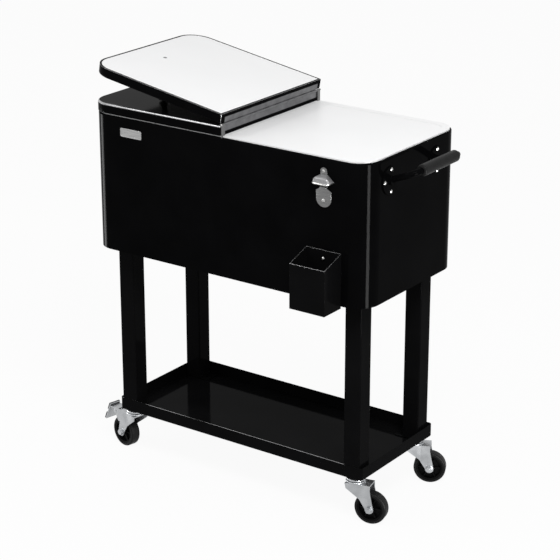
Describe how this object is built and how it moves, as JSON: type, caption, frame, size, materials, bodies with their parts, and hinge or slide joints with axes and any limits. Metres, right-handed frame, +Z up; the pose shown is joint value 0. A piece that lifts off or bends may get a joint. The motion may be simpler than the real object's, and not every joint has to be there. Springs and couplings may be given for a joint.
{
  "type": "rolling cooler cart",
  "caption": "Insulated patio cooler tub on four legs and swivel casters, with two half lids on a centre hinge, a lower shelf, two side handles, a bottle opener and a cap catcher.",
  "frame": {"origin": "on the floor, under the middle of the whole cart's bounding box", "axes": "+X along the tub to the cart's right as seen from the front, +Y from the front with the opener to the back, +Z up"},
  "size_m": [0.9, 0.44, 0.9641],
  "materials": {
    "black_enamel": "high gloss powder coat",
    "dark_steel": "satin blackened",
    "white_moulding": "smooth moulded",
    "foam": "rigid foam",
    "stainless": "satin",
    "bright_screws": "bright plated",
    "zinc_steel": "bright zinc",
    "soft_grip": "satin",
    "black_plastic": "moulded",
    "tyre": "smooth tread"
  },
  "bodies": {
    "root": {"tub_shell": "black_enamel", "tub_base": "black_enamel", "insulation": "foam", "liner": "white_moulding", "hinge_posts": "stainless", "hinge_pin": "bright_screws", "leg_front_left": "black_enamel", "leg_front_right": "black_enamel", "leg_back_left": "black_enamel", "leg_back_right": "black_enamel", "leg_bolts": "bright_screws", "shelf_tray": "black_enamel", "tray_bolts": "bright_screws", "left_handle": "black_enamel", "left_grip": "soft_grip", "right_handle": "black_enamel", "right_grip": "soft_grip", "handle_screws": "bright_screws", "bottle_opener": "stainless", "opener_screws": "bright_screws", "cap_catcher": "black_enamel", "catcher_screw": "bright_screws", "drain_fitting": "black_plastic", "drain_nut": "black_plastic", "caster_stems": "zinc_steel"},
    "lid_left": {"left_lid_skin": "black_enamel", "left_lid_foam": "foam", "left_lid_panel": "white_moulding", "left_hinge_leaf": "dark_steel", "left_lid_knob": "black_plastic", "left_knob_screw": "bright_screws"},
    "lid_right": {"right_lid_skin": "black_enamel", "right_lid_foam": "foam", "right_lid_panel": "white_moulding", "right_hinge_leaf": "dark_steel", "right_lid_knob": "black_plastic", "right_knob_screw": "bright_screws"},
    "cover": {"inner_cover": "white_moulding"},
    "drain_plug": {"drain_cap": "black_plastic"},
    "caster_front_left": {"fork_front_left": "zinc_steel", "axle_front_left": "zinc_steel"},
    "wheel_front_left": {"hub_front_left": "black_plastic", "tyre_front_left": "tyre"},
    "brake_front_left": {"pedal_front_left": "zinc_steel", "pedal_pad_front_left": "black_plastic"},
    "caster_back_left": {"fork_back_left": "zinc_steel", "axle_back_left": "zinc_steel"},
    "wheel_back_left": {"hub_back_left": "black_plastic", "tyre_back_left": "tyre"},
    "brake_back_left": {"pedal_back_left": "zinc_steel", "pedal_pad_back_left": "black_plastic"},
    "caster_front_right": {"fork_front_right": "zinc_steel", "axle_front_right": "zinc_steel"},
    "wheel_front_right": {"hub_front_right": "black_plastic", "tyre_front_right": "tyre"},
    "caster_back_right": {"fork_back_right": "zinc_steel", "axle_back_right": "zinc_steel"},
    "wheel_back_right": {"hub_back_right": "black_plastic", "tyre_back_right": "tyre"}
  },
  "joints": [
    {"name": "left_lid_turns", "type": "hinge", "parent": "root", "child": "lid_left", "pos_m": [0, 0.031, 0.8779], "axis": [0, 1, 0], "range_deg": [0, 170.5]},
    {"name": "right_lid_turns", "type": "hinge", "parent": "lid_left", "child": "lid_right", "pos_m": [0, 0.031, 0.8779], "axis": [0, -1, 0], "range_deg": [-170.5, 0]},
    {"name": "cover_slides", "type": "slide", "parent": "root", "child": "cover", "axis": [1, 0, 0], "range_m": [-0.3232, 0]},
    {"name": "drain_cap_pulls", "type": "slide", "parent": "root", "child": "drain_plug", "axis": [0, 0, 1], "range_m": [-0.016, 0]},
    {"name": "front_left_swivels", "type": "hinge", "parent": "root", "child": "caster_front_left", "pos_m": [-0.317, -0.0923, 0.1], "axis": [0, 0, 1], "continuous": true},
    {"name": "front_left_rolls", "type": "hinge", "parent": "caster_front_left", "child": "wheel_front_left", "pos_m": [-0.35417, -0.0844, 0.0375], "axis": [-0.2079, -0.9781, 0], "continuous": true},
    {"name": "front_left_brake_turns", "type": "hinge", "parent": "caster_front_left", "child": "brake_front_left", "pos_m": [-0.37373, -0.08024, 0.087], "axis": [-0.2079, -0.9781, 0], "range_deg": [0, 16]},
    {"name": "back_left_swivels", "type": "hinge", "parent": "root", "child": "caster_back_left", "pos_m": [-0.317, 0.1543, 0.1], "axis": [0, 0, 1], "continuous": true},
    {"name": "back_left_rolls", "type": "hinge", "parent": "caster_back_left", "child": "wheel_back_left", "pos_m": [-0.35417, 0.1622, 0.0375], "axis": [-0.2079, -0.9781, 0], "continuous": true},
    {"name": "back_left_brake_turns", "type": "hinge", "parent": "caster_back_left", "child": "brake_back_left", "pos_m": [-0.37373, 0.16636, 0.087], "axis": [-0.2079, -0.9781, 0], "range_deg": [0, 16]},
    {"name": "front_right_swivels", "type": "hinge", "parent": "root", "child": "caster_front_right", "pos_m": [0.317, -0.0923, 0.1], "axis": [0, 0, 1], "continuous": true},
    {"name": "front_right_rolls", "type": "hinge", "parent": "caster_front_right", "child": "wheel_front_right", "pos_m": [0.35417, -0.0844, 0.0375], "axis": [-0.2079, 0.9781, 0], "continuous": true},
    {"name": "back_right_swivels", "type": "hinge", "parent": "root", "child": "caster_back_right", "pos_m": [0.317, 0.1543, 0.1], "axis": [0, 0, 1], "continuous": true},
    {"name": "back_right_rolls", "type": "hinge", "parent": "caster_back_right", "child": "wheel_back_right", "pos_m": [0.35144, 0.17036, 0.0375], "axis": [-0.4226, 0.9063, 0], "continuous": true}
  ]
}
